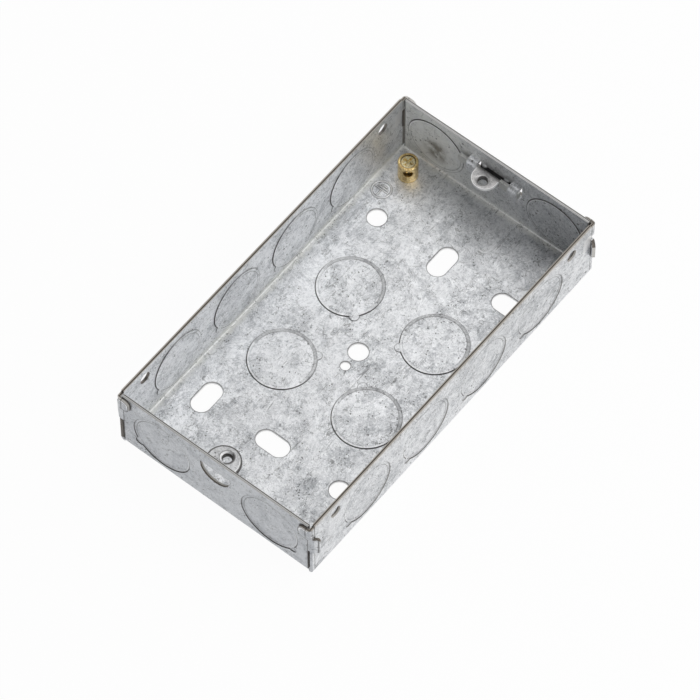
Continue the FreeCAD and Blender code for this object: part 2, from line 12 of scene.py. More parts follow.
# %% Load the frame
import math
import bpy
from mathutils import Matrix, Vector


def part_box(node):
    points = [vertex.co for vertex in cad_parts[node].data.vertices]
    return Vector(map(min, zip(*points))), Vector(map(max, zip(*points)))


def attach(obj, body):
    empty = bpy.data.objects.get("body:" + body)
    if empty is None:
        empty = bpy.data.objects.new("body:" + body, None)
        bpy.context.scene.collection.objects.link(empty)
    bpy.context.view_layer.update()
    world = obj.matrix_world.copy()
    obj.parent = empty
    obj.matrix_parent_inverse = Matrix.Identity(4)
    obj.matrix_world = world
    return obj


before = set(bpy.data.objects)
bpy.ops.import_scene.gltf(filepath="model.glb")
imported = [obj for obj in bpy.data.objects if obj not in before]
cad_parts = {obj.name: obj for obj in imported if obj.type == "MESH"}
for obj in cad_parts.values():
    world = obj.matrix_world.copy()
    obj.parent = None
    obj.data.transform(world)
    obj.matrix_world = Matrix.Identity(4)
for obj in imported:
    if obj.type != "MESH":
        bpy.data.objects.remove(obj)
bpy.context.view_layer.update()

from types import SimpleNamespace

import bmesh
import bpy
from mathutils import Matrix, Vector

MM = 0.001
print("nodes:", sorted(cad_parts))

# %% [markdown]
# ## The sizes that the finishes follow
#
# A finish such as a cut edge or the line round a knockout has to sit on the
# metal, so it needs the box's own sizes. The frame names only each node's
# corners. The few others here are the ones that the folded sheet was drawn with.

# %% Sizes of the folded sheet, in millimetres
_, shell_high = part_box("box_shell")
SHEET = 1.0
FOLD = 1.4
HALF_WIDTH = 36.0
HALF_LENGTH = shell_high[1] / MM - SHEET
INNER_WIDTH = HALF_WIDTH - SHEET
INNER_LENGTH = HALF_LENGTH - SHEET
RIM = shell_high[2] / MM
END_WALL_EDGE = 34.4
SKIN = 0.03
print("half length", round(HALF_LENGTH, 2), "rim", round(RIM, 2), "sheet", SHEET)

# %% Sizes of its holes, its lugs and its sign
HOLE = 3.1
SLOT = 3.2
SLOT_RUN = 2.45
BACK_HOLES = (
    ((0.0, 0.0), (0.0, 0.0), HOLE), ((-25.0, 40.0), (0.0, 0.0), HOLE),
    ((25.0, -40.0), (0.0, 0.0), HOLE), ((0.0, -6.15), (0.0, 0.0), 1.55),
    ((0.0, -40.0), (SLOT_RUN, 0.0), SLOT), ((-25.0, -40.0), (0.0, SLOT_RUN), SLOT),
    ((0.0, 40.0), (0.0, SLOT_RUN), SLOT), ((25.0, 40.0), (SLOT_RUN, 0.0), SLOT),
)
LUG_TOP = 20.4
LUG_LOW = 16.0
LUG_HOLE = 1.5
LUG_MOUTH = 2.3
HOLE_Y = 60.3
FIXED_LUG = (0.0, -62.0, 5.4)
SLIDE_LUG = (-1.2, 61.4, 4.15)
LUG_REACH = FIXED_LUG[2] + 0.1
LUG_ROOT = 0.5 - INNER_LENGTH
LUG_TIP = 11.0 - HALF_LENGTH
STRAPS = ((-8.75, -5.45), (6.65, 9.95))
SIGN_PLACE = (-30.1, 48.6)
SIGN_RING = 3.0
SIGN_BARS = ((0.0, 5.0), (0.75, 3.3), (1.5, 1.8))
SIGN_STEM = 2.4
print("holes in the back:", len(BACK_HOLES), "- lugs at y", -HOLE_Y, "and", HOLE_Y)

# %% [markdown]
# ## The camera
#
# The photograph looks down on the box from one corner with a long lens, so the
# far side is hardly smaller than the near side. The angles, the distance and
# the lens below were found by fitting the box's known corners and holes to the
# photograph. Building the camera's axes from two angles keeps them readable.

# %% Place the camera
AZIMUTH = math.radians(38.869)
ELEVATION = math.radians(59.058)
ROLL = math.radians(-0.086)
DISTANCE = 1.639654
FOCAL_PIXELS = 5593.684
IMAGE_PIXELS = 700
SENSOR_MM = 36.0
AIM_HEIGHT = 0.0125
AIM_SHIFT = (-0.002478, -0.005384)

back = Vector((math.sin(AZIMUTH) * math.cos(ELEVATION),
               -math.cos(AZIMUTH) * math.cos(ELEVATION), math.sin(ELEVATION)))
level = Vector((math.cos(AZIMUTH), math.sin(AZIMUTH), 0))
upward = back.cross(level)
right = level * math.cos(ROLL) + upward * math.sin(ROLL)
up = upward * math.cos(ROLL) - level * math.sin(ROLL)
eye = Vector((0, 0, AIM_HEIGHT)) + right * AIM_SHIFT[0] + up * AIM_SHIFT[1] + back * DISTANCE

camera_data = bpy.data.cameras.new("photo_camera")
camera_data.lens = FOCAL_PIXELS / IMAGE_PIXELS * SENSOR_MM
camera_data.sensor_width = SENSOR_MM
camera_data.clip_start = 0.05
camera = bpy.data.objects.new("photo_camera", camera_data)
camera.matrix_world = Matrix((
    (right.x, up.x, back.x, eye.x),
    (right.y, up.y, back.y, eye.y),
    (right.z, up.z, back.z, eye.z),
    (0, 0, 0, 1),
))
bpy.context.scene.collection.objects.link(camera)
bpy.context.scene.camera = camera
print("lens", round(camera_data.lens, 1), "mm, eye at", [round(value, 3) for value in eye])

# %% [markdown]
# ## Building finishes from nodes
#
# A procedural finish is a network of nodes. Wiring it one call at a time hides
# the idea, so a number that nodes work out is wrapped here, and plain
# arithmetic on it adds the nodes. A comparison makes a mask: z > 3 is 1 on
# what is higher than 3 mm and 0 elsewhere, and a product of masks is 1 only
# where all of them are.

# %% Numbers that nodes work out
class Number:
    """A number that nodes work out; arithmetic on it adds nodes to the same tree."""

    def __init__(self, socket):
        self.socket = socket

    def __abs__(self):
        return calc("ABSOLUTE", self)

    def __add__(self, other):
        return calc("ADD", self, other)

    def __sub__(self, other):
        return calc("SUBTRACT", self, other)

    def __rsub__(self, other):
        return calc("SUBTRACT", other, self)

    def __mul__(self, other):
        return calc("MULTIPLY", self, other)

    def __truediv__(self, other):
        return calc("DIVIDE", self, other)

    def __gt__(self, other):
        return calc("GREATER_THAN", self, other)

    def __lt__(self, other):
        return calc("LESS_THAN", self, other)


def source_of(value):
    """The socket inside a wrapped number, or the value itself."""
    return value.socket if isinstance(value, Number) else value


def fill(item, inputs):
    """Links or sets some inputs of a node, and gives the node back."""
    for key, value in inputs.items():
        source = source_of(value)
        if isinstance(source, bpy.types.NodeSocket):
            item.id_data.links.new(source, item.inputs[key])
        else:
            item.inputs[key].default_value = source
    return item


def node(kind, inputs, tree=None, **settings):
    """Adds a node, in the tree of its first linked input unless a tree is named."""
    if tree is None:
        sources = [source_of(value) for value in inputs.values()]
        tree = next(source.id_data for source in sources if isinstance(source, bpy.types.NodeSocket))
    item = tree.nodes.new(kind)
    for name, value in settings.items():
        setattr(item, name, value)
    return fill(item, inputs)


def calc(operation, *values, clamp=False):
    """One step of arithmetic."""
    item = node("ShaderNodeMath", dict(enumerate(values)), operation=operation, use_clamp=clamp)
    return Number(item.outputs[0])


print("numbers ready")

# %% Steps, colours and the place on the piece
def ramp(value, low, high):
    """A smooth step that rises from 0 at low to 1 at high, or falls where low is above high."""
    rising = low < high
    item = node("ShaderNodeMapRange",
                {"Value": value, "From Min": min(low, high), "From Max": max(low, high),
                 "To Min": 0.0 if rising else 1.0, "To Max": 1.0 if rising else 0.0},
                interpolation_type="SMOOTHSTEP")
    return Number(item.outputs["Result"])


def mix(factor, first, second):
    """A colour between two colours."""
    colours = {index: (*colour, 1) if isinstance(colour, tuple) else colour
               for index, colour in ((6, first), (7, second))}
    return node("ShaderNodeMix", {0: factor, **colours}, data_type="RGBA").outputs[2]


def paint_over(colour, layers):
    """Lays colours over a colour, each where its mask is 1 and as strongly as its share."""
    for mask, share, paint in layers:
        colour = mix(mask * share, colour, paint)
    return colour


def parts_of(vector):
    """The three parts of a vector."""
    return [Number(part) for part in node("ShaderNodeSeparateXYZ", {0: vector}).outputs]


def new_finish(name):
    """A material, its shader, and what is known of a point: its place in mm and how its face looks."""
    material = bpy.data.materials.new(name)
    material.use_nodes = True
    tree = material.node_tree
    in_metres = node("ShaderNodeTexCoord", {}, tree=tree).outputs["Object"]
    place = node("ShaderNodeVectorMath", {0: in_metres, "Scale": 1 / MM}, operation="SCALE").outputs[0]
    x, y, z = parts_of(place)
    normal = parts_of(node("ShaderNodeNewGeometry", {}, tree=tree).outputs["True Normal"])
    at = SimpleNamespace(place=place, x=x, y=y, z=z, across=abs(x), along=abs(y),
                         normal=normal, squarely=[abs(part) for part in normal])
    return material, tree.nodes["Principled BSDF"], at


print("finish helpers ready")

# %% [markdown]
# ## Marks in the zinc
#
# Hot dipped zinc freezes in flat crystals. Each has its own tone and its own
# direction of fine strokes, like frost on a window. Handling then adds dull
# stains, dark pits that come in clusters, and hairline scratches. Each mark is
# its own function, because the sliding lug's strip has the same marks in other
# amounts.

# %% Crystals, stains, scratches and pits
def clouds(place, size, detail=4.0, rough=0.55):
    """Soft uneven tone, about 0.5 on average."""
    item = node("ShaderNodeTexNoise", {"Vector": place, "Scale": 1 / size, "Detail": detail,
                                       "Roughness": rough})
    return Number(item.outputs["Fac"])


def crystals(place, cell, stroke):
    """Frozen crystals: a tone for each, and strokes that run its own way, both 0 to 1."""
    bend = node("ShaderNodeTexNoise", {"Vector": place, "Scale": 1.2 / cell, "Detail": 3.0})
    reach = 0.9 * cell
    shift = node("ShaderNodeVectorMath",
                 {0: bend.outputs["Color"], 1: (reach, reach, reach), 2: place},
                 operation="MULTIPLY_ADD")
    cells = node("ShaderNodeTexVoronoi", {"Vector": shift.outputs[0], "Scale": 1 / cell})
    pick = cells.outputs["Color"]
    turn = node("ShaderNodeVectorMath", {0: pick, "Scale": 2 * math.pi}, operation="SCALE")
    turned = node("ShaderNodeVectorRotate", {"Vector": place, "Rotation": turn.outputs[0]},
                  rotation_type="EULER_XYZ")
    drawn = node("ShaderNodeMapping",
                 {"Vector": turned.outputs[0], "Scale": (1 / stroke, 0.2 / stroke, 1 / stroke)})
    strokes = node("ShaderNodeTexNoise", {"Vector": drawn.outputs[0], "Scale": 1.0,
                                          "Detail": 3.0, "Roughness": 0.65})
    tone = Number(node("ShaderNodeSeparateColor", {0: pick}).outputs["Red"])
    return tone, ramp(Number(strokes.outputs["Fac"]), 0.36, 0.64)


def hairlines(place, turn, spacing, stretch, thinness, share):
    """Fine lines, broken into lengths; they run straight where stretch is small. 1 on a line."""
    turned = node("ShaderNodeMapping",
                  {"Vector": place, "Rotation": turn,
                   "Scale": (1 / spacing, stretch / spacing, 1 / spacing)})
    lines = node("ShaderNodeTexNoise", {"Vector": turned.outputs[0], "Scale": 1.0, "Detail": 2.0,
                                        "Distortion": 0.4 * stretch + 0.1})
    near = abs(Number(lines.outputs["Fac"]) - 0.5)
    breaks = ramp(clouds(place, spacing * 1.6, detail=2.0), 0.68 - share, 0.72 - share)
    return ramp(near, thinness, 0.0) * breaks


def pits(place, spacing, radius, share):
    """Small round dark spots in some of the cells of a random pattern; share may be a Number."""
    cells = node("ShaderNodeTexVoronoi", {"Vector": place, "Scale": 1 / spacing})
    pick = node("ShaderNodeSeparateColor", {0: cells.outputs["Color"]})
    size = Number(pick.outputs["Green"]) * (radius / spacing)
    return (Number(cells.outputs["Distance"]) < size) * (Number(pick.outputs["Blue"]) < share)


print("marks ready")

# %% [markdown]
# ## Masks
#
# A line or a stain belongs to one place on the metal. Painting a fixed mesh by
# hand would be slow, and the marks would stay behind if a size changed. A mask
# worked out from coordinates finds its place by itself.

# %% Masks from coordinates
def between(value, low, high):
    """1 where a value lies between two numbers."""
    return (value > low) * (value < high)


def any_of(*masks):
    """The largest of some masks."""
    largest = masks[0]
    for mask in masks[1:]:
        largest = calc("MAXIMUM", largest, mask)
    return largest


def smaller_of(first, second):
    """The smaller of two numbers."""
    return calc("MINIMUM", first, second)


def distance(first, second):
    """How far a point lies from the origin of two coordinates."""
    return calc("SQRT", first * first + second * second)


def off(value, middle, run=0.0):
    """How far a coordinate lies past a stretch that reaches run to each side of middle."""
    return calc("MAXIMUM", abs(value - middle) - run, 0.0)


def line_at(value, middle, half):
    """A thin soft line where a value is close to middle."""
    return ramp(off(value, middle), half * 1.6, half * 0.6)


def round_spot(first, second, spot):
    """A soft round spot, given by its middle and its radius."""
    reach = distance(first - spot[0], second - spot[1])
    return ramp(reach, spot[2], spot[2] * 0.3)


print("mask helpers ready")

# %% [markdown]
# ## Where the sheet was cut
#
# Zinc covers the sheet's two faces, but the press cuts through them, so rims
# and the insides of holes show bare steel. A face that lies inside the sheet's
# thickness and doesn't look the way that the sheet does must be a cut. The
# tabs, the window under the fixed lug and the corner gaps are cut too. Some cut
# faces are painted lighter as painted light: the window, the tabs and the outer
# part of the right wall's cut faces. Others are painted darker: the corner gaps
# as painted shade, and the tabs' tops, the lug's edge and the window's outer edge.

# %% The cut faces
TAB_EDGE = 33.5
GAP_TOP = 20.2
WINDOW_REACH = 8.0
WINDOW_LIP = 0.5
HOLE_LIP = 0.55
TAB_DARK_REACH = 0.35
TAB_DARK_REACH_RIGHT = 0.75


def cut_faces(at):
    """1 on cut faces: those of the walls, the back's holes, the ones painted darker, partly as painted
    shade, and the ones painted lighter as painted light.
    """
    past_x, past_y, past_z = (part < 0.5 for part in at.squarely)
    above_fold = at.z > FOLD
    on_edge = at.squarely[2] > 0.3
    in_back = (past_z * between(at.z, SKIN, SHEET - SKIN)
               * (at.across < HALF_WIDTH - FOLD) * (at.along < HALF_LENGTH - FOLD))
    in_long = (past_x * above_fold * (at.along < INNER_LENGTH)
               * between(at.across, INNER_WIDTH + SKIN, HALF_WIDTH - SKIN))
    in_end = (past_y * above_fold * (at.across < END_WALL_EDGE + SKIN)
              * between(at.along, INNER_LENGTH + SKIN, HALF_LENGTH - SKIN))
    in_high_tab = (at.along > HALF_LENGTH + SKIN) * any_of(on_edge, past_y * (at.across < TAB_EDGE))
    turned_in = at.normal[0] * at.normal[1] * at.x * at.y < 0.0
    in_low_tab = (at.across > HALF_WIDTH + SKIN) * any_of(on_edge, turned_in)
    in_lug = (past_z * between(at.z, LUG_LOW, LUG_TOP - SKIN)
              * (at.across < LUG_REACH) * between(at.y, LUG_ROOT, LUG_TIP))
    # Painted shade in the corner gaps between the end walls and the long walls.
    in_gap = (between(at.across, END_WALL_EDGE - SKIN, HALF_WIDTH - SKIN)
              * between(at.along, INNER_LENGTH - SKIN, HALF_LENGTH - SKIN)
              * between(at.z, FOLD, GAP_TOP) * any_of(at.x < 0.0, at.squarely[0] > 0.5))
    # The window's cut faces are painted light as painted light; its outer edge is painted dark.
    in_window = in_end * (at.across < WINDOW_REACH) * (at.y < 0.0)
    window_edge = in_window * (at.along > HALF_LENGTH - WINDOW_LIP)
    # Painted light on the outer part of the right wall's cut faces.
    lit_hole_face = in_long * (at.x > HALF_WIDTH - HOLE_LIP)
    dark_reach = (at.x > 0.0) * (TAB_DARK_REACH_RIGHT - TAB_DARK_REACH) + (HALF_LENGTH + TAB_DARK_REACH)
    dark_tab = in_high_tab * (at.along < dark_reach)
    return SimpleNamespace(
        walls=any_of(in_long, in_end), holes=in_back,
        darkened=any_of(in_gap, dark_tab, window_edge, in_lug, in_low_tab * on_edge),
        wear_and_gleam=any_of(lit_hole_face, in_window, in_high_tab, in_low_tab))


print("cut faces ready")

# %% [markdown]
# ## The rim
#
# The rim is bare cut steel, and dark lines are painted along it as painted
# shade, on the side of each edge that is turned from the light. Each wall
# fills one whole millimetre, so the fraction of a coordinate tells how deep in
# the sheet a point is, and where the line runs.

# %% The rim's painted shade lines
TAB_TOP = 24.5


def rim_bands(at):
    """1 on the rim, 1 on the long walls' part of it, and how dark its painted shade lines are."""
    over_tab = ((at.squarely[2] > 0.5) * (at.z > TAB_TOP)
                * between(at.along, INNER_LENGTH - SKIN, HALF_LENGTH + SKIN))
    on_top = any_of(at.z > RIM - SKIN, over_tab)
    on_long = at.across > INNER_WIDTH
    nearer = 1.0 - calc("FRACT", at.y)
    end_shade_lines = any_of(line_at(nearer, 0.25, 0.11), line_at(nearer, 0.75, 0.08) * 0.45)
    long_shade_line = line_at(calc("FRACT", at.across), 0.42, 0.17)
    lines = node("ShaderNodeMix", {"Factor": on_long, "A": end_shade_lines, "B": long_shade_line})
    return on_top, on_long, Number(lines.outputs["Result"])


print("rim bands ready")

# %% [markdown]
# ## Rings of the knockouts
#
# A knockout is a disc that the press has sheared half way, so that a blow
# frees it. Its edge shows as a dark line, its pressed ring as a narrow dip.
# The back's four rings look alike from their own middles, so mirrored
# coordinates let one ring stand for all four. Light falls from one side only,
# so the ring's two halves are told apart by true coordinates. On the shaded half
# painted shade weakens the outline, adds an inner line and greys the dip; on
# the lit half lies a painted highlight.

# %% One knockout's marks
KNOCKOUT_RADIUS = 10.5
TIE_RADIUS = 1.5
RING_WIDE = 1.0


def ring_marks(first, second, tie, to_shade, shade_band, gleam):
    """One knockout's dark lines, its pressed dip, and the painted highlight on its lit side.

    first and second are measured from its middle, tie is the way to its tie, and to_shade is how
    far a point lies towards its shaded side. The last two are the strengths of a painted shade band
    and of the painted highlight.
    """
    reach = distance(first, second)
    turn = to_shade / KNOCKOUT_RADIUS
    shaded = ramp(turn, -0.5, 0.4)
    tie_reach = distance(first - tie[0] * KNOCKOUT_RADIUS, second - tie[1] * KNOCKOUT_RADIUS)
    clear_of_tie = ramp(tie_reach, TIE_RADIUS - 0.2, TIE_RADIUS + 0.1)
    # Painted shade sets the lines' strength and the dip's grey by side; a painted highlight lies on the lit
    # side.
    outline = line_at(reach, KNOCKOUT_RADIUS - 0.05, 0.14) * clear_of_tie * (shaded * -0.55 + 0.95)
    tie_line = line_at(tie_reach, TIE_RADIUS, 0.13) * (reach > KNOCKOUT_RADIUS) * 0.45
    inner_line = line_at(reach, KNOCKOUT_RADIUS - RING_WIDE, 0.12) * shaded * 0.5
    dip = ramp(off(reach, KNOCKOUT_RADIUS - RING_WIDE / 2), RING_WIDE / 2 + 0.1, RING_WIDE / 2 - 0.15)
    bright_line = line_at(reach, KNOCKOUT_RADIUS - 0.45, 0.16) * ramp(turn, 0.2, -0.5) * gleam
    return any_of(outline, tie_line, inner_line, dip * shaded * shade_band), dip, bright_line


print("one ring ready")

# %% All the knockouts
BACK_KNOCKOUT = (16.0, 16.1)
BACK_TIE = (-math.sqrt(0.5), -math.sqrt(0.5))
SIDE_PITCH = 27.1
LONG_TIE = (-0.8, -0.6)
END_TIE = (0.8, -0.6)
NEAR_KNOCKOUT_X = 20.1
FAR_KNOCKOUT_X = 22.4
WALL_KNOCKOUT_UP = 12.8


def knockout_marks(at):
    """The dark lines with their painted shade, the dips and the painted highlights of all the knockouts."""
    on_back = (at.z < FOLD) * (at.across < HALF_WIDTH - FOLD)
    second = at.along - BACK_KNOCKOUT[1]
    back_ring = ring_marks(at.across - BACK_KNOCKOUT[0], second, BACK_TIE,
                           to_shade=second * calc("SIGN", at.y), shade_band=0.26, gleam=0.45)
    height = at.z - WALL_KNOCKOUT_UP
    on_long = (at.across > INNER_WIDTH - 0.5) * (at.along < 2 * SIDE_PITCH)
    step = calc("FLOORED_MODULO", at.y, SIDE_PITCH) - SIDE_PITCH / 2
    long_ring = ring_marks(step, height, LONG_TIE, to_shade=step * 0.5, shade_band=0.0, gleam=0.45)
    on_near = at.y < 0.5 - INNER_LENGTH
    apart = at.across - NEAR_KNOCKOUT_X
    near_ring = ring_marks(apart, height, END_TIE,
                           to_shade=height * 0.5 - apart * calc("SIGN", at.x) * 0.8, shade_band=0.0, gleam=0.35)
    on_far = at.y > INNER_LENGTH - 0.5
    far_ring = ring_marks(at.across - FAR_KNOCKOUT_X, height, END_TIE,
                          to_shade=0.0 - height, shade_band=0.0, gleam=1.0)
    rings = ((on_back, back_ring), (on_long, long_ring), (on_near, near_ring), (on_far, far_ring))
    return [any_of(*(mask * ring[part] for mask, ring in rings)) for part in range(3)]


print("knockout lines ready")

# %% [markdown]
# ## Fine outlines
#
# Dark lines go along every small edge: round the holes, the lugs, the corner
# tabs and the pressed sign. Some are dark joints and dirt, and beside the tabs,
# the sign and the lug's mouth they are painted shade. At this scale such an
# edge is one dark line with a painted highlight beside it. Each shape below
# gives the distance to its own outline, and a thin line is drawn where that
# distance is small.

# %% Outlines of holes, tabs and sign
TAB_MIDDLE = (33.3, 22.8)
TAB_RUN = 0.7
TAB_CORNER = 1.8


def hole_edges(at):
    """The dark edge round each hole in the back."""
    edges = []
    for centre, run, radius in BACK_HOLES:
        reach = distance(off(at.x, centre[0], run[0]), off(at.y, centre[1], run[1]))
        edges.append(line_at(reach, radius + 0.08, 0.12))
    return any_of(*edges) * between(at.z, 0.6, FOLD)


def tab_edges(at):
    """The outline of the high tabs: painted shadow on the wall round them, a dark line on the tab, and a
    painted highlight further in on its upper part.
    """
    inward = calc("MAXIMUM", TAB_MIDDLE[0] - at.across, 0.0)
    out = distance(inward, off(at.z, TAB_MIDDLE[1], TAB_RUN)) - TAB_CORNER
    on_face = at.along > HALF_LENGTH - SKIN
    on_tab = at.along > HALF_LENGTH + SHEET - SKIN
    # Painted shadow on the end wall round each tab.
    wall_shadow = ramp(out, 0.6, 0.1) * (at.along < HALF_LENGTH + SKIN)
    tab_line = line_at(out, -0.08, 0.14) * on_tab
    # Painted highlight on the tab's upper part.
    gleam = line_at(out, -0.5, 0.2) * on_tab * ramp(at.z, 21.5, 23.5)
    return any_of(wall_shadow, tab_line) * on_face, gleam


def sign_marks(at):
    """Painted shadow beside the ring, the bars and the stem of the earth sign, and 1 on the raised sign
    itself.
    """
    left = at.x - SIGN_PLACE[0]
    up_sheet = at.y - SIGN_PLACE[1]
    shapes = [off(distance(left, up_sheet), SIGN_RING)]
    shapes += [distance(off(left, 0.0, length / 2), off(up_sheet, rise)) for rise, length in SIGN_BARS]
    shapes.append(distance(left, off(up_sheet, -SIGN_STEM / 2, SIGN_STEM / 2)))
    edges = any_of(*(line_at(shape, 0.27, 0.10) for shape in shapes))
    # Painted shadow beside the sign's ring, bars and stem.
    dirt_and_shade = edges * between(at.z, SHEET - SKIN, SHEET + SKIN)
    near_sign = round_spot(at.x, at.y, (*SIGN_PLACE, SIGN_RING + 1.0)) > 0.01
    return dirt_and_shade, near_sign * between(at.z, SHEET + SKIN, SHEET + 0.3)


def seam_lines(at):
    """The dark seam where an end wall meets a long wall in a corner."""
    on_end = line_at(at.across, END_WALL_EDGE - 0.15, 0.14) * (at.along > INNER_LENGTH - 0.1)
    on_long = line_at(at.along, INNER_LENGTH - 0.15, 0.14) * (at.across > INNER_WIDTH - 0.1)
    return (at.z > FOLD) * any_of(on_end, on_long)


print("outlines ready")

# %% Marks and painted shade on the fixed lug, and the painted shade behind the strip
STRIP_FRONT = 63.9
SHADE_FOOT = (16.0, 17.0)
DEEP_SHADE = (20.3, 19.5)
FAINT_SHADE = (22.5, 19.5)


def lug_edges(at, lug, hole_y, way):
    """Distances for a lug: to its round end's outline from inside, and from its hole's middle."""
    centre_x, centre_y, radius = lug
    past = calc("MAXIMUM", (at.y - centre_y) * way, 0.0)
    return radius - distance(at.x - centre_x, past), distance(at.x - centre_x, at.y - hole_y)


def fixed_lug_marks(at):
    """1 on the fixed lug's top, its dark lines with painted shade in its bore and on one side of its hole's
    mouth, and its painted highlights.
    """
    inside, from_hole = lug_edges(at, FIXED_LUG, -HOLE_Y, 1)
    on_lug = (between(at.z, LUG_TOP - 1.0, LUG_TOP + SKIN) * (at.across < LUG_REACH)
              * between(at.y, LUG_ROOT, LUG_TIP))
    # Painted shade on the mouth's right side, painted highlight on its left side and on the outline's right
    # end.
    in_mouth = ramp(from_hole, LUG_MOUTH, LUG_MOUTH - 0.15)
    bore_shade = ramp(from_hole, LUG_HOLE + 0.12, LUG_HOLE) * between(at.z, LUG_LOW, LUG_TOP)
    dark = any_of(line_at(inside, 0.12, 0.28), in_mouth * ramp(at.x, -0.2, 0.9),
                  line_at(from_hole, LUG_MOUTH, 0.14) * 0.6)
    lug_highlights = any_of(line_at(inside, 0.7, 0.14) * ramp(at.x, 3.0, 4.0), in_mouth * ramp(at.x, -0.3, -1.0))
    return on_lug, any_of(bore_shade, on_lug * dark), on_lug * lug_highlights


def behind_strip(at):
    """The deep shade on the far wall between the straps, behind the strip, and the fainter one over it."""
    between_straps = between(at.x, STRAPS[0][1] - 0.1, STRAPS[1][0] + 0.1)
    shade = any_of(ramp(at.z, *DEEP_SHADE), ramp(at.z, *FAINT_SHADE) * 0.35) * ramp(at.z, *SHADE_FOOT)
    return between(at.y, STRIP_FRONT, INNER_LENGTH + SKIN) * between_straps * shade


print("lug marks ready")

# %% [markdown]
# ## The coating's tone
#
# Zinc is never one grey. Large and small crystals, fine grain, broad drifts
# and stains each add a little to the tone or take a little away, and their sum
# looks natural, where one pattern alone would look printed. A few dents and
# scuffed places are put where the photograph shows them.

# %% Tone, light marks, dark marks and relief
DENTS = ((6.3, 50.0, 1.3), (12.9, 57.6, 0.9), (7.1, 59.2, 0.8))
SCUFFS = ((23.0, -14.0, 4.5), (16.0, -47.0, 6.5), (20.0, -30.0, 5.0), (-20.0, -24.0, 5.0))


def coat_tone(at, frost_layers, rime_layers, scuffed):
    """The coating's tone, from 0 for dark to 1 for light: each layer adds or takes away its weight."""
    tone_large, frost = frost_layers
    tone_small, rime = rime_layers
    grain = clouds(at.place, 1.5, detail=4.0, rough=0.9)
    broad = ramp(clouds(at.place, 24.0), 0.38, 0.62)
    stain = ramp(clouds(at.place, 5.0, detail=6.0, rough=0.7), 0.53, 0.57)
    blot = ramp(clouds(at.place, 1.9, detail=4.0, rough=0.7), 0.60, 0.64)
    # Painted shade: darker towards the right and beside the left fold. Painted light: lighter on the left
    # wall.
    right_shade = ramp(at.x, 8.0, 30.0)
    left_fold_shade = ramp(at.x, -27.0, -32.0) * ramp(at.x, -35.0, -34.4)
    left_wall_light = at.x < 0.3 - INNER_WIDTH
    tone = tone_large * 0.14 - 0.37
    for layer, weight in ((tone_small, 0.12), (frost, 0.34), (rime, 0.30), (grain, 1.35), (broad, 0.14),
                          (stain, -0.24), (blot, -0.26), (right_shade, -0.12), (left_fold_shade, -0.20),
                          (left_wall_light, 0.06), (scuffed * grain, -0.36)):
        tone = tone + layer * weight
    return calc("MAXIMUM", tone, 0.0, clamp=True)


def zinc_marks(at):
    """The coating's tone, its light and its dark marks, and its relief."""
    frost_layers = crystals(at.place, 6.0, 0.50)
    rime_layers = crystals(at.place, 2.0, 0.22)
    scuffed = any_of(ramp(clouds(at.place, 8.0, detail=3.0), 0.50, 0.64),
                     *(round_spot(at.x, at.y, spot) for spot in SCUFFS))
    scratches = [hairlines(at.place, (0, 0, math.radians(turn)), spacing, 0.04, 0.012, 0.14)
                 for turn, spacing in ((25, 1.6), (-50, 2.4))]
    dents = [round_spot(at.x, at.y, dent) for dent in DENTS]
    curls = any_of(hairlines(at.place, (0, 0, math.radians(70)), 3.0, 0.05, 0.006, 0.18),
                   hairlines(at.place, (0.4, 0.2, 0.9), 2.6, 1.0, 0.018, 0.22),
                   hairlines(at.place, (0.1, 0.5, 2.1), 1.3, 0.5, 0.016, 0.14))
    specks = any_of(pits(at.place, 2.1, 0.42, 0.30), pits(at.place, 1.2, 0.30, 0.20),
                    pits(at.place, 0.75, 0.26, scuffed * 0.50))
    dark = any_of(specks * 0.8, curls * 0.55)
    relief = dark * -0.8 + rime_layers[1]
    return coat_tone(at, frost_layers, rime_layers, scuffed), any_of(*scratches, *dents), dark, relief


print("coating ready")

# %% [markdown]
# ## Painted light along the folds
#
# The folds are painted pale, ragged at their edges, as painted light, with a
# brighter painted highlight where the sheet bends. The far wall's left part is
# painted pale too, as painted light, and it has a brown smudge.

# %% Painted fold light and smudge
SMUDGE_SPOT = (-22.0, 10.5, 6.5)
WALL_LIGHT_FADE = (14.0, -28.0)
GLEAM_FADE = (40.0, -10.0)
LEFT_FADE = (-36.0, -33.0)


def far_wall(at):
    """1 on the inner face of the far wall."""
    return between(at.y, INNER_LENGTH - 0.5, INNER_LENGTH + 0.5)


def fold_light_marks(at):
    """1 where pale light is painted along the folds and on the far wall's left part, 1 on the painted
    highlight along a fold, and 1 on the bend itself, which is painted bright too.
    """
    patchy = ramp(clouds(at.place, 2.4, detail=5.0, rough=0.7), 0.34, 0.60)
    ragged = clouds(at.place, 1.6, detail=4.0, rough=0.7) * 2.4 - 1.2
    streaks = ramp(clouds(at.place, 1.1, detail=5.0, rough=0.8), 0.40, 0.58)
    rise = at.z - SHEET
    from_fold = smaller_of(distance(INNER_WIDTH - at.across, rise), distance(INNER_LENGTH - at.along, rise))
    inside = (at.across < INNER_WIDTH + 0.2) * (at.along < INNER_LENGTH + 0.2) * (at.z > SHEET - SKIN)
    left_share = ramp(at.x, *LEFT_FADE)
    # Painted pale light along the folds.
    fold_pale_light = ramp(from_fold + ragged, 2.5, 0.7) * inside * (patchy * 0.6 + 0.2)
    # Painted light on the far wall's left part.
    far_wall_light = far_wall(at) * ramp(at.x, *WALL_LIGHT_FADE) * (patchy * 0.5 + 0.5) * 0.95
    # Painted highlight along the folds.
    wear_and_gleam = (inside * ramp(ragged * 0.5 + from_fold, 1.2, 0.5) * streaks
            * ramp(at.x, *GLEAM_FADE) * left_share)
    # The bend's curve, painted bright as a painted highlight.
    bend = inside * between(at.squarely[2], 0.08, 0.98) * ramp(from_fold, 0.8, 0.6) * left_share
    return any_of(fold_pale_light, far_wall_light), wear_and_gleam, bend


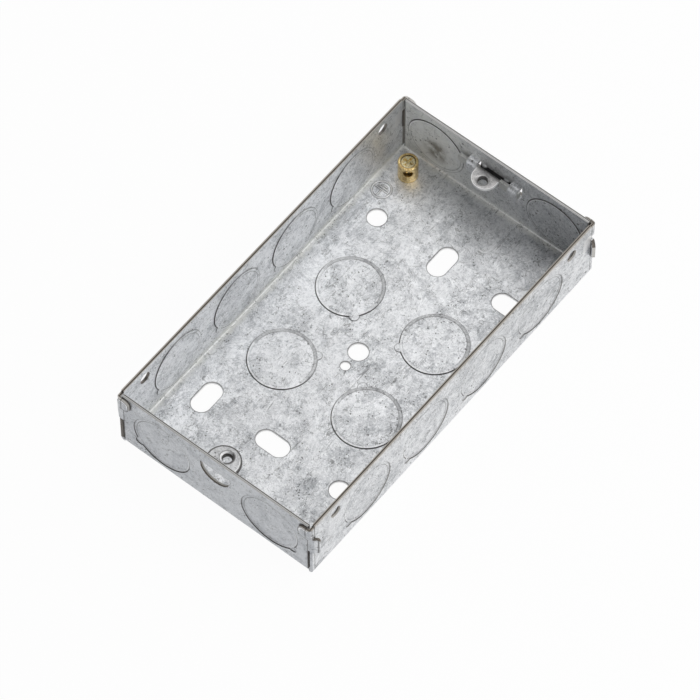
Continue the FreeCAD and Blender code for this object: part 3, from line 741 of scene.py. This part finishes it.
def smudge_mark(at):
    """The brown smudge on the far wall."""
    return far_wall(at) * round_spot(at.x, at.z, SMUDGE_SPOT) * ramp(clouds(at.place, 4.0), 0.3, 0.6)


print("chalk ready")

# %% [markdown]
# ## The sheet's finish
#
# The coating is dull metal: it mirrors broad light and shade, but no sharp
# picture. A metallic shader with middling roughness does that. Dirt, pits, the
# rim and the painted light and shade aren't metal, so the shader is less
# metallic there. The colour is built like paint, one layer over another, from
# the coating's own tone to the rim's painted shade lines; several layers are
# painted light and shade. A very low bump lets the light catch the strokes,
# pits and rings.

# %% Colours of zinc, steel, dirt, and painted light and shade
ZINC_LIGHT = (0.87, 0.88, 0.895)
ZINC_DARK = (0.36, 0.375, 0.395)
# Painted shade on the near wall's outside.
NEAR_WALL_SHADE = (0.34, 0.36, 0.39)
# Scratches, and the painted highlights on edges.
SCRATCH_AND_GLEAM = (0.92, 0.92, 0.92)
# Painted pale light along the folds, on the far wall and on the strip's ends.
PALE_PAINTED_LIGHT = (0.78, 0.79, 0.76)
# Painted highlight along the folds.
FOLD_GLEAM = (0.97, 0.97, 0.95)
LUG_GREY = (0.42, 0.41, 0.40)
SMUDGE = (0.12, 0.10, 0.065)
PIT_DARK = (0.10, 0.10, 0.095)
CUT_STEEL = (0.16, 0.14, 0.12)
# Painted light: the back's hole walls are painted near white, like the lit floor beyond them.
CUT_LIT_WHITE = (0.85, 0.85, 0.85)
# Cut faces painted lighter, as painted light.
CUT_LIT_GREY = (0.62, 0.60, 0.56)
# Cut faces painted darker, partly as painted shade.
CUT_DARKENED = (0.10, 0.08, 0.06)
RIM_LIGHT = (0.62, 0.62, 0.61)
RIM_BROWN = (0.48, 0.44, 0.385)
# The rim's painted shade lines.
RIM_SHADE_DARK = (0.045, 0.035, 0.028)
# Dark joints and dirt, and painted shade along edges and in bores.
LINE_DARK = (0.055, 0.05, 0.045)
CREVICE = (0.012, 0.012, 0.012)
print("colours ready")

# %% The zinc coated sheet
STRAP_FRONT = 61.0
STRAP_LOW = 15.0
STRAP_TOP = 21.6
# Heights of the painted shade under the right wall's rim.
UNDER_RIM_SHADE = (23.5, 25.8)


def zinc_sheet():
    """Zinc coated sheet with bare cut edges, dark lines round everything pressed in it, and painted light
    and shade.
    """
    material, shader, at = new_finish("zinc_sheet_finish")
    tone, scratches, specks, relief = zinc_marks(at)
    ring_line, ring_dip, ring_gleam = knockout_marks(at)
    pale_light, fold_gleam_line, bend = fold_light_marks(at)
    cut = cut_faces(at)
    on_rim, on_long_rim, rim_shade_lines = rim_bands(at)
    tab_line, tab_gleam = tab_edges(at)
    on_lug, lug_lines_and_shade, lug_gleam = fixed_lug_marks(at)
    sign_shadow, raised_sign = sign_marks(at)
    behind = behind_strip(at)
    # Painted shade: the near wall's outside is painted darker.
    near_wall_shade = (at.y < 0.3 - HALF_LENGTH) * (at.squarely[1] > 0.5)
    # Painted shade under the right wall's rim.
    painted_rim_shade = (at.x > HALF_WIDTH - SKIN) * ramp(at.z, *UNDER_RIM_SHADE)
    # Painted highlights on the straps' side edges.
    strap_gleam = (between(at.y, STRAP_FRONT, INNER_LENGTH - SKIN) * (at.squarely[0] > 0.5)
                  * between(at.z, STRAP_LOW, STRAP_TOP))
    # Painted highlights on the rings, the lug, the tabs and the straps, and the raised sign painted light.
    wear_and_gleam = any_of(ring_gleam, lug_gleam, tab_gleam, strap_gleam, raised_sign)
    # Dark joints, dirt and outlines, with painted shade beside the tabs, the sign, the lug and the
    # knockouts.
    dirt_and_shade = any_of(ring_line, seam_lines(at) * 0.7, hole_edges(at) * 0.6, tab_line * 0.8,
                  lug_lines_and_shade * 0.9, sign_shadow * 0.5)
    # The rim's painted shade lines over its own colour.
    rim_colour = mix(rim_shade_lines, mix(on_long_rim, RIM_LIGHT, RIM_BROWN), RIM_SHADE_DARK)

    colour = paint_over(mix(tone, ZINC_DARK, ZINC_LIGHT), (
        (near_wall_shade, 0.62, NEAR_WALL_SHADE),
        (scratches, 0.35, SCRATCH_AND_GLEAM),
        (on_lug, 0.35, LUG_GREY),
        # Painted pale light along the folds and on the far wall.
        (pale_light, 1.0, PALE_PAINTED_LIGHT),
        (smudge_mark(at), 0.8, SMUDGE),
        # Painted highlight along the folds and on the bends.
        (any_of(fold_gleam_line, bend), 1.0, FOLD_GLEAM),
        (painted_rim_shade, 0.35, RIM_BROWN),
        (specks, 1.0, PIT_DARK),
        (wear_and_gleam, 0.75, SCRATCH_AND_GLEAM),
        (cut.walls, 0.9, CUT_STEEL),
        (cut.wear_and_gleam, 0.9, CUT_LIT_GREY),
        (cut.darkened, 0.9, CUT_DARKENED),
        # The back's hole walls, painted near white as painted light.
        (cut.holes, 1.0, CUT_LIT_WHITE),
        (dirt_and_shade, 0.97, LINE_DARK),
        (behind, 1.0, CREVICE),
        (on_rim, 1.0, rim_colour),
    ))
    dull = any_of(dirt_and_shade, behind, pale_light, cut.darkened, cut.wear_and_gleam, on_rim, specks * 0.8) * (1.0 - bend)
    fine_bump = node("ShaderNodeBump", {"Height": relief, "Strength": 0.5, "Distance": 0.05 * MM})
    ring_bump = node("ShaderNodeBump", {"Height": ring_dip, "Strength": 0.5, "Distance": 0.10 * MM,
                                        "Normal": fine_bump.outputs[0]}, invert=True)
    fill(shader, {"Base Color": colour, "Metallic": dull * -0.8 + 0.8,
                  "Roughness": dull * 0.25 + tone * -0.14 + 0.43, "Normal": ring_bump.outputs[0]})
    return material


print("sheet finish ready")

# %% [markdown]
# ## The strip's finish
#
# The sliding lug was plated apart from the box. It is darker and more even.
# Its ends and its part right of the tab are painted lighter as painted light,
# and its tab's edges and the ring round its hole get painted highlights. The
# same marks serve, with other colours and shares.

# %% The plated strip
STRIP_DARK = (0.24, 0.24, 0.24)
STRIP_LIGHT = (0.52, 0.51, 0.505)
SLIDE_TAB = (56.0, 62.6)


def zinc_strip():
    """The sliding lug's plating, with painted highlights on its tab's edges, painted light on its ends and
    painted shade in its bore.
    """
    material, shader, at = new_finish("zinc_strip_finish")
    tone, _, specks, relief = zinc_marks(at)
    inside, from_hole = lug_edges(at, SLIDE_LUG, HOLE_Y, -1)
    on_tab = between(at.y, *SLIDE_TAB) * between(at.z, LUG_TOP - 1.1, LUG_TOP + SKIN)
    hole_ring = line_at(from_hole, LUG_HOLE + 0.28, 0.09) * 0.45
    # Painted highlights on the tab's outline and round its hole.
    tab_highlight = on_tab * any_of(line_at(inside, 0.06, 0.12), hole_ring)
    # Painted shade in the bore.
    painted_bore_shade = ramp(from_hole, LUG_HOLE + 0.45, LUG_HOLE + 0.1) * ramp(at.z, LUG_TOP - 0.1, LUG_TOP - 0.8)
    # Painted light on the ends and right of the tab.
    ends_painted_light = any_of(at.x < STRAPS[0][0], at.x > SLIDE_LUG[0] + SLIDE_LUG[2])
    colour = paint_over(mix(tone, STRIP_DARK, STRIP_LIGHT), (
        (ends_painted_light, 0.7, PALE_PAINTED_LIGHT),
        (specks, 0.6, PIT_DARK),
        (painted_bore_shade, 0.8, LINE_DARK),
        (tab_highlight, 0.9, SCRATCH_AND_GLEAM),
    ))
    bump = node("ShaderNodeBump", {"Height": relief, "Strength": 0.25, "Distance": 0.03 * MM})
    fill(shader, {"Base Color": colour, "Metallic": any_of(tab_highlight, painted_bore_shade) * -0.6 + 0.85,
                  "Roughness": tone * -0.10 + 0.40, "Normal": bump.outputs[0]})
    return material


print("strip finish ready")

# %% [markdown]
# ## The brass terminal
#
# The pillar and its clamp screw are turned from brass bar. Turning leaves fine
# rings, and handling dulls them, so the tone wanders and the tool marks are
# only a low bump. A dark line of painted shade marks the gap between screw and
# pillar.

# %% Turned brass
screw_low, screw_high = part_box("earth_terminal_screw")
TERMINAL = [(screw_low[axis] + screw_high[axis]) / 2 / MM for axis in (0, 1)]
CLAMP_RADIUS = (screw_high[0] - screw_low[0]) / 2 / MM
PILLAR_LIGHT = (0.95, 0.74, 0.36)
PILLAR_DARK = (0.50, 0.33, 0.13)
SCREW_LIGHT = (1.0, 0.94, 0.66)
SCREW_DARK = (0.74, 0.54, 0.24)
# Painted shade in the gap between screw and pillar.
BRASS_GAP_SHADE = (0.06, 0.045, 0.02)
GAP_FOOT = 7.0


def brass(name, light, dark, roughness, patch):
    """Turned brass with dull patches, a dark line of painted shade round the clamp screw's edge, and fine
    tool marks.
    """
    material, shader, at = new_finish(name)
    dull = clouds(at.place, patch, detail=5.0, rough=0.75)
    reach = distance(at.x - TERMINAL[0], at.y - TERMINAL[1])
    # Painted shade: a dark line in the gap round the clamp screw.
    gap_shade = line_at(reach, CLAMP_RADIUS, 0.16) * (at.z > GAP_FOOT)
    colour = paint_over(mix(ramp(dull, 0.42, 0.56), dark, light), ((gap_shade, 0.65, BRASS_GAP_SHADE),))
    rings = node("ShaderNodeTexWave", {"Vector": at.place, "Scale": 1.6, "Distortion": 0.6},
                 bands_direction="Z")
    bump = node("ShaderNodeBump", {"Height": rings.outputs["Fac"], "Strength": 0.15, "Distance": 0.02 * MM})
    fill(shader, {"Base Color": colour, "Metallic": 0.95, "Roughness": dull * -0.15 + roughness,
                  "Normal": bump.outputs[0]})
    return material


print("brass ready, clamp radius", round(CLAMP_RADIUS, 2))

# %% Every finish on its node
FINISHES = {
    "box_shell": zinc_sheet(),
    "adjustable_lug": zinc_strip(),
    "earth_terminal_pillar": brass("pillar_brass_finish", PILLAR_LIGHT, PILLAR_DARK,
                                   roughness=0.34, patch=0.8),
    "earth_terminal_screw": brass("screw_brass_finish", SCREW_LIGHT, SCREW_DARK,
                                  roughness=0.28, patch=0.45),
}
for name, finish in FINISHES.items():
    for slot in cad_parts[name].material_slots:
        slot.material = finish
print("finished nodes:", ", ".join(FINISHES))

# %% [markdown]
# ## The earth sign
#
# The sheet carries the usual earth sign beside the terminal: three bars and a
# stem in a ring, pressed so that they stand a little proud. A bump could fake
# it, but real metal this low still catches light from the side, so it is
# modelled. Half of each round bar is sunk in the back.

# %% Press the earth sign
SIGN_CENTRE = Vector((*SIGN_PLACE, SHEET)) * MM
SIGN_RADIUS = SIGN_RING * MM
SIGN_LINE = 0.20 * MM


def finish_mesh(name, shape, material, body):
    """Makes a bmesh a piece of the object that rides on a body."""
    mesh = bpy.data.meshes.new(name)
    bmesh.ops.remove_doubles(shape, verts=shape.verts, dist=1e-6)
    bmesh.ops.recalc_face_normals(shape, faces=shape.faces)
    shape.to_mesh(mesh)
    shape.free()
    for face in mesh.polygons:
        face.use_smooth = True
    mesh.materials.append(material)
    piece = bpy.data.objects.new(name, mesh)
    bpy.context.scene.collection.objects.link(piece)
    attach(piece, body)
    return piece


def add_bar(shape, start, end):
    """A round bar with round ends, lying between two points."""
    along = end - start
    turn = Vector((0, 0, 1)).rotation_difference(along.normalized()).to_matrix().to_4x4()
    made = bmesh.ops.create_cone(shape, cap_ends=True, segments=12, radius1=SIGN_LINE,
                                 radius2=SIGN_LINE, depth=along.length)
    place = Matrix.Translation((start + end) / 2) @ turn
    bmesh.ops.transform(shape, matrix=place, verts=made["verts"])
    for point in (start, end):
        bmesh.ops.create_uvsphere(shape, u_segments=12, v_segments=8, radius=SIGN_LINE,
                                  matrix=Matrix.Translation(point))


sign = bmesh.new()
profile = bmesh.ops.create_circle(sign, segments=12, radius=SIGN_LINE,
                                  matrix=Matrix.Rotation(math.pi / 2, 4, "X"))
bmesh.ops.translate(sign, verts=profile["verts"], vec=SIGN_CENTRE + Vector((SIGN_RADIUS, 0, 0)))
bmesh.ops.spin(sign, geom=list(sign.verts) + list(sign.edges), cent=SIGN_CENTRE, axis=(0, 0, 1),
               angle=2 * math.pi, steps=64, use_merge=True)
for offset, length in SIGN_BARS:
    middle = SIGN_CENTRE + Vector((0, offset * MM, 0))
    half = Vector((length / 2 * MM, 0, 0))
    add_bar(sign, middle - half, middle + half)
add_bar(sign, SIGN_CENTRE - Vector((0, SIGN_STEM * MM, 0)), SIGN_CENTRE)
earth_sign = finish_mesh("earth_sign", sign, FINISHES["box_shell"], "box")
print("earth sign faces:", len(earth_sign.data.polygons))

# %% [markdown]
# ## Threads in the lugs
#
# Both lugs are tapped for the accessory's screws. A thread is a small ridge
# that climbs as it turns, which is what the spin operator does when it also
# moves along its axis.

# %% Cut the threads
THREAD_RADIUS = LUG_HOLE * MM
THREAD_DEPTH = 0.14 * MM
THREAD_PITCH = 0.6 * MM
THREAD_LOW = 18.3 * MM
THREAD_TURNS = 2
THREAD_STEPS = 40


def thread(name, centre_x, centre_y, body, material):
    """A ridge that climbs the wall of a lug's hole."""
    shape = bmesh.new()
    root = THREAD_RADIUS + 0.02 * MM
    crest = THREAD_RADIUS - THREAD_DEPTH
    half = 0.2 * MM
    corners = [shape.verts.new((centre_x + reach, centre_y, THREAD_LOW + rise))
               for reach, rise in ((root, -half), (crest, 0), (root, half))]
    edges = [shape.edges.new((corners[index], corners[index - 1])) for index in range(3)]
    bmesh.ops.spin(shape, geom=corners + edges, cent=(centre_x, centre_y, 0), axis=(0, 0, 1),
                   angle=2 * math.pi * THREAD_TURNS, steps=THREAD_STEPS * THREAD_TURNS,
                   dvec=(0, 0, THREAD_PITCH / THREAD_STEPS))
    bmesh.ops.holes_fill(shape, edges=shape.edges, sides=3)
    return finish_mesh(name, shape, material, body)


fixed_thread = thread("fixed_lug_thread", 0.0, -HOLE_Y * MM, "box",
                      FINISHES["box_shell"])
slide_thread = thread("slide_lug_thread", SLIDE_LUG[0] * MM, HOLE_Y * MM, "lug",
                      FINISHES["adjustable_lug"])
print("thread faces:", len(fixed_thread.data.polygons), len(slide_thread.data.polygons))

# %% [markdown]
# ## Floor, world and lamps
#
# The photograph has a white ground and soft light that is stronger from above
# and from the right. The floor is white to the camera and to reflections, and
# it still takes the box's shadow. From below it is clear, so that the box's
# underside can be looked at. Two large area lamps and a pale world give a plain
# level, at which a colour renders about as it is written.

# %% Floor
FLOOR_SIZE = 6.0
FLOOR_DROP = 0.00005
FLOOR_GLOW = 0.96


def seen_directly(tree):
    """1 for rays that show the background: from the camera, a reflection or glass."""
    path = node("ShaderNodeLightPath", {}, tree=tree)
    rays = ("Is Camera Ray", "Is Glossy Ray", "Is Transmission Ray")
    return any_of(*(Number(path.outputs[ray]) for ray in rays))


def one_sided_white():
    """White that glows for rays that see it directly, takes shadows, and is clear from below."""
    material = bpy.data.materials.new("white_floor")
    material.use_nodes = True
    tree = material.node_tree
    tree.nodes.clear()
    diffuse = node("ShaderNodeBsdfDiffuse", {"Color": (0.9, 0.9, 0.9, 1)}, tree=tree)
    glow = node("ShaderNodeEmission", {"Color": (1, 1, 1, 1), "Strength": 1.0}, tree=tree)
    clear = node("ShaderNodeBsdfTransparent", {}, tree=tree)
    from_below = node("ShaderNodeNewGeometry", {}, tree=tree).outputs["Backfacing"]
    white = node("ShaderNodeMixShader", {0: seen_directly(tree) * FLOOR_GLOW, 1: diffuse.outputs[0],
                                         2: glow.outputs[0]})
    one_sided = node("ShaderNodeMixShader", {0: from_below, 1: white.outputs[0], 2: clear.outputs[0]})
    node("ShaderNodeOutputMaterial", {"Surface": one_sided.outputs[0]})
    return material


def flat_square(name, size, place, material):
    """A flat square for the stage, laid in place by a matrix."""
    shape = bmesh.new()
    bmesh.ops.create_grid(shape, x_segments=1, y_segments=1, size=size / 2, matrix=place)
    mesh = bpy.data.meshes.new(name)
    shape.to_mesh(mesh)
    shape.free()
    mesh.materials.append(material)
    square = bpy.data.objects.new(name, mesh)
    bpy.context.scene.collection.objects.link(square)
    return square


floor = flat_square("floor", FLOOR_SIZE, Matrix.Translation((0, 0, -FLOOR_DROP)), one_sided_white())
print("floor", FLOOR_SIZE, "m")

# %% World and lamps
WORLD_LEVEL = 0.8
world = bpy.data.worlds.new("studio")
world.use_nodes = True
bpy.context.scene.world = world
world_tree = world.node_tree
world_tree.nodes.clear()
brightness = seen_directly(world_tree) * (1 - WORLD_LEVEL) + WORLD_LEVEL
sky = node("ShaderNodeBackground", {"Color": (1, 1, 1, 1), "Strength": brightness})
node("ShaderNodeOutputWorld", {"Surface": sky.outputs[0]})


def area_lamp(name, place, size, watts):
    """A square soft lamp that faces the box."""
    data = bpy.data.lights.new(name, "AREA")
    data.size = size
    data.energy = watts
    lamp = bpy.data.objects.new(name, data)
    spot = Vector(place)
    lamp.matrix_world = Matrix.Translation(spot) @ spot.to_track_quat("Z", "Y").to_matrix().to_4x4()
    bpy.context.scene.collection.objects.link(lamp)


area_lamp("key_lamp", place=(0.55, 0.15, 0.60), size=0.45, watts=1.0)
area_lamp("top_lamp", place=(0.0, 0.35, 0.85), size=0.5, watts=0.8)
bpy.context.scene.view_settings.view_transform = "Standard"
print("world level", WORLD_LEVEL)

# %% [markdown]
# ## A dark card
#
# In the photograph the far wall is much darker than the rest. Bright metal
# looks dark only where it mirrors something dark, and the far wall mirrors, by
# way of the back, the space over the near left corner. A dark card held there
# does the same.

# %% Hold the card
CARD_SIDE = 0.8
CARD_AWAY = 0.6
CARD_BLACK = (0.02, 0.02, 0.02, 1)
card_material = bpy.data.materials.new("dark_card")
card_material.use_nodes = True
fill(card_material.node_tree.nodes["Principled BSDF"], {"Base Color": CARD_BLACK, "Roughness": 1.0})
card_direction = Vector((-back.x, back.y, back.z))
card_turn = card_direction.to_track_quat("Z", "Y").to_matrix().to_4x4()
card_place = Matrix.Translation(card_direction * CARD_AWAY) @ card_turn
card = flat_square("dark_card", CARD_SIDE, card_place, card_material)
card.visible_camera = False
print("card", CARD_SIDE, "m wide,", CARD_AWAY, "m away")
